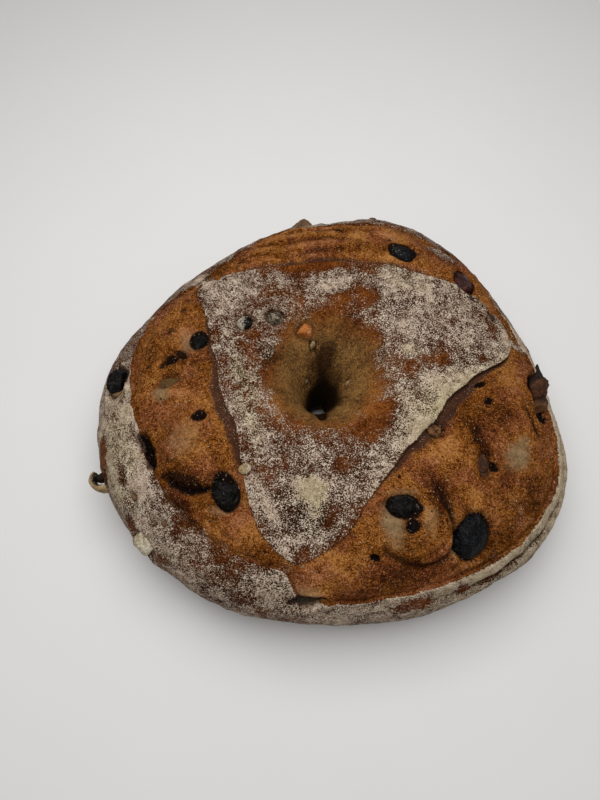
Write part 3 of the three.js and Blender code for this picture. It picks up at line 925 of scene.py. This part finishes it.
fruitPieces = [
    seated("raisinLarge", "slate", (307.7, 43.4), (7, 9, 5.6), -22, 1.6, 3, detail=6, crease=0.15,
        wrinkle=0.6, flour=(0, 0.22), socket=1.9),
    seated("raisinSpeckled", "black", (295.2, 21.8), (6.6, 4.4, 4), -8, 1.8, 5, detail=6, crease=0.4,
        flour=(0.1, 0.38), socket=1.5, collar=0.9),
    seated("raisinCrumb", "black", (294.8, 29), (2.6, 2.3, 1.6), 30, 1.3, 6, detail=4, crease=0.3,
        wrinkle=0.6, socket=0.9, chips=5),
    seated("raisinLowLeft", "black", (234.9, 22.8), (5, 7.6, 4.8), 22, 1.7, 8, detail=6, crease=0.5,
        wrinkle=1.6, flour=(0, 0.3), socket=1.4, collar=0.5, chips=6),
    seated("raisinUpperLeft", "black", (170, 14.8), (3.6, 4.3, 3), -20, 1.3, 11, crease=0.45,
        flour=(0, 0.22), socket=1, collar=0.8),
    seated("raisinLeftEdge", "black", (182.8, 51.5), (5, 6.4, 5), -12, -0.2, 14, crease=0.7, wrinkle=1.1,
        socket=1, collar=1.2, chips=6),
    seated("raisinFlange", "crumbNut", (186.6, 51), (3.6, 2.8, 3), 30, 0.2, 15, detail=4, wrinkle=1.2,
        chips=7, shadow=0.4),
    seated("raisinTop", "slate", (57.4, 26.8), (6.2, 5, 3.8), -22, 1.6, 17, detail=6, crease=0.2,
        wrinkle=0.7, flour=(-0.1, 0.32), socket=1.1, collar=0.9),
    seated("raisinGlossy", "syrup", (34.1, 41.7), (4.6, 6.2, 4), 24, 1.4, 19, crease=0.5, socket=1.5,
        collar=0.8, shadow=1),
    seated("raisinFloured", "black", (152, 3), (4.2, 3.7, 3.1), 20, 1.2, 23, crease=0.4, wrinkle=0.7,
        flour=(-0.5, 0.62), shadow=0.5),
    seated("raisinDusty", "dusty", (135.5, -7.2), (4.3, 3.7, 3.1), 0, 1, 29, crease=0.4, wrinkle=0.8,
        flour=(0, 0.2), shadow=0.7),
    seated("nutOnHollow", "orangeNut", (113.6, -28.1), (4, 3.8, 3.5), 10, 0.3, 35, wrinkle=0.9, chips=5,
        flour=(0.1, 0.3), shadow=0.5, socket=0.8),
    seated("seedInHollow", "paleNut", (104, -39), (1.6, 2.2, 1.4), -10, 0.4, 33, detail=4, wrinkle=0.6,
        chips=4, flour=(-0.3, 0), shadow=0.7, socket=1),
    seated("crumbHollowLeft", "paleNut", (129, -60), (1.5, 1.3, 1), 20, 0.1, 81, detail=4, chips=4,
        flour=(0, 0.2), shadow=0.3),
    seated("crumbHollowRight", "paleNut", (7, -50), (1.2, 1.8, 1), -15, 0.1, 82, detail=4, chips=4,
        flour=(0, 0.2), shadow=0.4),
    seated("nutPaleLeft", "paleNut", (235.2, 12.8), (2.9, 2.4, 2.1), 20, 0.4, 37, detail=4, wrinkle=0.8,
        chips=6, flour=(0.1, 0.35), shadow=0.5),
    seated("nutRimLeft", "paleNut", (223.8, 76.5), (6.6, 6, 4.6), 10, 0.4, 41, wrinkle=1.8, chips=5,
        flour=(0.2, 0.5), shadow=0.5),
    seated("nutRimLeftBase", "burntNut", (225.5, 92), (4.6, 4.4, 3), 0, 0.9, 42, wrinkle=1.3, chips=6,
        shadow=0.4),
    seated("nutBurntEdge", "burntNut", (355.6, 53), (4.8, 6.4, 5.2), -20, -1.4, 43, detail=6, wrinkle=2.6,
        chips=7, point=7.5, burn=1, shadow=0.8, socket=1.2),
    seated("nutBrownEdge", "brownNut", (350.4, 51), (4, 4.4, 3.8), 0, -0.4, 44, wrinkle=1.8, chips=9,
        burn=0.7, shadow=0.9, socket=1.2),
    seated("walnutHalf", "burntNut", (323.6, 26.4), (2.8, 5.4, 2), 4, 1, 53, crease=0.7, wrinkle=1.3,
        chips=5, point=4.4, burn=0.4, shadow=0.5, socket=0.6),
    seated("branKnot", "brownNut", (324.6, 9.4), (3.3, 3.5, 1.9), 20, 0.8, 57, crease=0.7, wrinkle=1.5,
        chips=4, shadow=0.6, socket=0.9),
    # a dark lump inside the curl's hook: painted shade filling the hook
    seated("curlShadeFill", "burntNut", (203.8, 84), (2, 2.8, 3.2), 0, -1.4, 58, detail=4, wrinkle=1.2,
        chips=4, burn=1),
    seated("nutRimTop", "crumbNut", (97, 64), (6.2, 3.6, 4.4), 6, -0.8, 59, wrinkle=2, chips=6,
        flour=(0.2, 0.15), shadow=0.5),
    seated("seedRimTop", "crumbNut", (73.5, 60), (2.6, 1.5, 2.2), 0, -0.6, 61, detail=4, wrinkle=0.8,
        chips=5),
    seated("orangeCrumb", "crumbNut", (225.8, 51.4), (1.9, 1.5, 1.5), 20, 0.3, 62, detail=4, wrinkle=0.8,
        chips=5, flour=(0, -0.1), shadow=0.3),
    seated("paleCrumb", "crumbNut", (215, 56.7), (2.4, 2.2, 1.6), 0, 0.5, 63, detail=4, chips=5,
        flour=(0, 0.1), shadow=0.2),
    seated("crumbRimFront", "crumbNut", (249, 88), (1.8, 1.5, 1.8), 0, 0.2, 67, detail=4, chips=5),
    seated("oliveNutLeft", "oliveNut", (188.2, 22.4), (5.4, 2.6, 1.7), 20, 0.7, 71, crease=0.5, chips=3,
        flour=(0, -0.7), shadow=0.45, socket=0.5),
]

# The curl of nut skin that sticks out of the left side: a hook, seen from its edge.
# stemShare is the share of the strip that runs straight out of the crust.
curlShape = {"name": "nutCurl", "at": (203.9, 86), "radius": 4.2, "stem": 4.6, "stemShare": 0.3,
             "buried": 2, "width": 7.5, "thick": 2.3, "bend": 158, "seed": 73}


def seatOn(sheet, spec):
    # where a piece sits: on the finished crust, square to the smooth loaf
    centre, along, across, out = seat(spec["at"], spec.get("turn", 0))
    nearest = np.argmin(np.linalg.norm(sheet.point - centre, axis=-1))
    return centre + out * sheet.lift.flat[nearest], along, across, out


def chipped(raw, spec):
    # cuts a round shape back to flat broken faces
    draw = np.random.default_rng(spec["seed"])
    for _ in range(spec["chips"]):
        facing = unit(draw.normal(size=3))
        over = raw @ facing - draw.uniform(0.55, 0.85)
        raw = raw - facing * 0.92 * np.clip(over, 0, None)[:, None]
    return raw


def makeFruit(spec, sheet):
    piece = newPiece(bpy.ops.mesh.primitive_ico_sphere_add, spec["name"], radius=1,
                     subdivisions=spec["detail"])
    raw = pointsOf(piece)
    body = chipped(raw, spec) * np.array(spec["size"])
    seed, crease, wrinkle = spec["seed"], spec["crease"], spec["wrinkle"]
    # wrinkles: creases where a broad noise crosses zero, finer ones between
    folds = hump(noiseAt(body, 4.2, seed), 0.15) + 0.6 * hump(noiseAt(body, 2.0, seed + 1), 0.14)
    dents = noiseAt(body, 5.0, seed + 2)
    fine = noiseAt(body, 1.2, seed + 3, 2)
    depth = -0.5 * crease * folds + 0.5 * wrinkle * dents + 0.14 * wrinkle * fine
    body = body + raw * depth[:, None]
    if spec["point"]:
        # a spike at the piece's far end
        tip = smooth(0.45, 1.0, raw[:, 1])
        body[:, 1] += spec["point"] * tip ** 1.5
        body[:, 0] *= 1 - 0.8 * tip
        body[:, 2] *= 1 - 0.6 * tip
    centre, along, across, out = seatOn(sheet, spec)
    points = centre + body[:, :1] * along + body[:, 1:2] * across + (body[:, 2:] - spec["sunk"]) * out
    movePoints(piece, points)
    lean, amount = spec["flour"]
    addAttributes(piece, {
        "flour": amount + lean * (points - centre)[:, 0] / spec["size"][0],
        # painted shade in the creases, and burnt patches where burn is set
        "dark": np.maximum(0.8 * smooth(0.35, 0.9, folds) * crease,
                           spec["burn"] * smooth(-0.5, 0.4, raw[:, 1] + 0.8 * dents)),
    })
    piece.data.materials.append(looks[spec["look"]])
    bpy.ops.object.shade_smooth()
    return piece


def makeCurl(spec, sheet):
    # a strip of nut skin: a grid bent into a hook, then given its thickness
    strip = newPiece(bpy.ops.mesh.primitive_grid_add, spec["name"], size=2,
                     x_subdivisions=56, y_subdivisions=18)
    raw = pointsOf(strip)
    along, across = (raw[:, 0] + 1) / 2, raw[:, 1]
    stem = spec["stemShare"]
    onStem = np.clip(along / stem, 0, 1)
    bend = np.radians(spec["bend"]) * np.clip((along - stem) / (1 - stem), 0, 1)
    radius = spec["radius"] * (1 - 0.25 * along)
    away = spec["stem"] * onStem + radius * np.sin(bend)
    aside = radius * np.cos(bend) + 2.4 * (1 - onStem)
    taper = 1 - 0.45 * smooth(0.5, 1.0, along) - 0.15 * smooth(0.3, 0.0, along)
    wobble = 0.5 * noiseAt(raw * 4, 1.8, spec["seed"])
    centre, _, _, out = seatOn(sheet, spec)
    upward = np.array([0.0, 0.0, 1.0])
    outward = unit(out * (1, 1, 0))
    onward = np.cross(upward, outward)
    points = centre + (away + wobble - spec["buried"])[:, None] * outward + (aside + wobble)[:, None] * onward
    points = points + (across * spec["width"] / 2 * taper + 2.0 * along + 0.5 * wobble)[:, None] * upward
    movePoints(strip, points)
    solid = strip.modifiers.new("thickness", "SOLIDIFY")
    solid.thickness = spec["thick"] * mm
    solid.offset = 0
    soften = strip.modifiers.new("soften", "SUBSURF")
    soften.levels = soften.render_levels = 1
    for modifier in ("thickness", "soften"):
        bpy.ops.object.modifier_apply(modifier=modifier)
    hub = centre + (spec["stem"] - spec["buried"]) * outward
    gap = (pointsOf(strip) / mm - hub) @ np.stack([outward, onward], -1)
    # the inside of the hook is painted dark: painted shade
    inside = smooth(spec["radius"] * 0.95, spec["radius"] * 0.72, np.linalg.norm(gap, axis=1))
    addAttributes(strip, {"flour": np.full(len(inside), 0.2), "dark": inside})
    strip.data.materials.append(looks["paleNut"])
    faceOutward()
    bpy.ops.object.shade_smooth()
    return strip


looks = {
    "slate": raisinFinish("raisinSlate", (0.0034, 0.0038, 0.0046), 1.34, 0.28, 0.09),
    "black": raisinFinish("raisinBlack", (0.0048, 0.0038, 0.0034), 1.42, 0.3, 0.09),
    "syrup": raisinFinish("raisinSyrup", (0.036, 0.005, 0.0022), 2.0, 0.14, 0.2),
    "dusty": raisinFinish("raisinDusty", (0.06, 0.042, 0.022), 1.05, 0.7, 0.1),
    "orangeNut": nutFinish("nutOrange", (0.56, 0.18, 0.034), (0.27, 0.078, 0.016), 1.2),
    "paleNut": nutFinish("nutPale", (0.42, 0.31, 0.16), (0.2, 0.12, 0.05), 1.1),
    "crumbNut": nutFinish("nutCrumb", (0.22, 0.13, 0.06), (0.05, 0.026, 0.014), 1.25),
    "oliveNut": nutFinish("nutOlive", (0.15, 0.082, 0.024), (0.055, 0.028, 0.01), 1.6),
    "brownNut": nutFinish("nutBrown", (0.21, 0.095, 0.034), (0.06, 0.022, 0.009), 1.5),
    "burntNut": nutFinish("nutBurnt", (0.11, 0.04, 0.014), (0.016, 0.008, 0.005), 1.7),
}

crust, sheet = makeCrust(fruitPieces)
crust.data.materials.append(crustFinish())
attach(crust, "root")
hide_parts("loaf")
print("crust done")

for spec in fruitPieces:
    piece = makeFruit(spec, sheet)
    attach(piece, "root")
curl = makeCurl(curlShape, sheet)
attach(curl, "root")
print("fruit and nuts done:", len(fruitPieces) + 1)

stageSet = {
    "floorSize": 3000, "floorGap": 0.2,
    "floorColours": [(0.3, 0.86, 0.85, 0.835), (0.7, 0.87, 0.86, 0.845)],
    "aim": (-10.9, 0.8, 24),
    "distance": 277,
    "elevation": 67,
    "lens": 27,
    "overheadSize": 450, "overheadAt": (-15, 50, 470), "overheadPower": 1.78,
    "sky": 0.28, "skyColour": (1.0, 0.995, 0.985, 1),
}


def makeFloor():
    floor = newPiece(bpy.ops.mesh.primitive_plane_add, "floor", size=stageSet["floorSize"] * mm,
                     location=(0, 0, -stageSet["floorGap"] * mm))
    look = Finish("paleFloor")
    tint = look.ramp(look.noise(60), stageSet["floorColours"])
    floor.data.materials.append(look.finish(tint, 0.75, 0.2))


def makeLights():
    world = bpy.data.worlds.new("softRoom")
    scene.world = world
    world.use_nodes = True
    background = world.node_tree.nodes["Background"]
    background.inputs["Color"].default_value = stageSet["skyColour"]
    background.inputs["Strength"].default_value = stageSet["sky"]
    at = Vector(stageSet["overheadAt"]) * mm
    bpy.ops.object.light_add(type="AREA", location=at)
    lamp = bpy.context.object
    lamp.name = "overheadPanel"
    lamp.data.shape = "SQUARE"
    lamp.data.size = stageSet["overheadSize"] * mm
    lamp.data.energy = stageSet["overheadPower"]
    lamp.rotation_euler = (-at).to_track_quat("-Z", "Y").to_euler()


def makeCamera():
    aim = Vector(stageSet["aim"]) * mm
    tilt = math.radians(stageSet["elevation"])
    back = Vector((0, -math.cos(tilt), math.sin(tilt)))
    bpy.ops.object.camera_add(location=aim + back * stageSet["distance"] * mm)
    camera = bpy.context.object
    camera.rotation_euler = (-back).to_track_quat("-Z", "Y").to_euler()
    camera.data.lens = stageSet["lens"]
    camera.data.sensor_width = 36
    camera.data.clip_start = 0.01
    scene.camera = camera


makeFloor()
makeLights()
makeCamera()
scene.view_settings.view_transform = "Standard"
print("stage done")
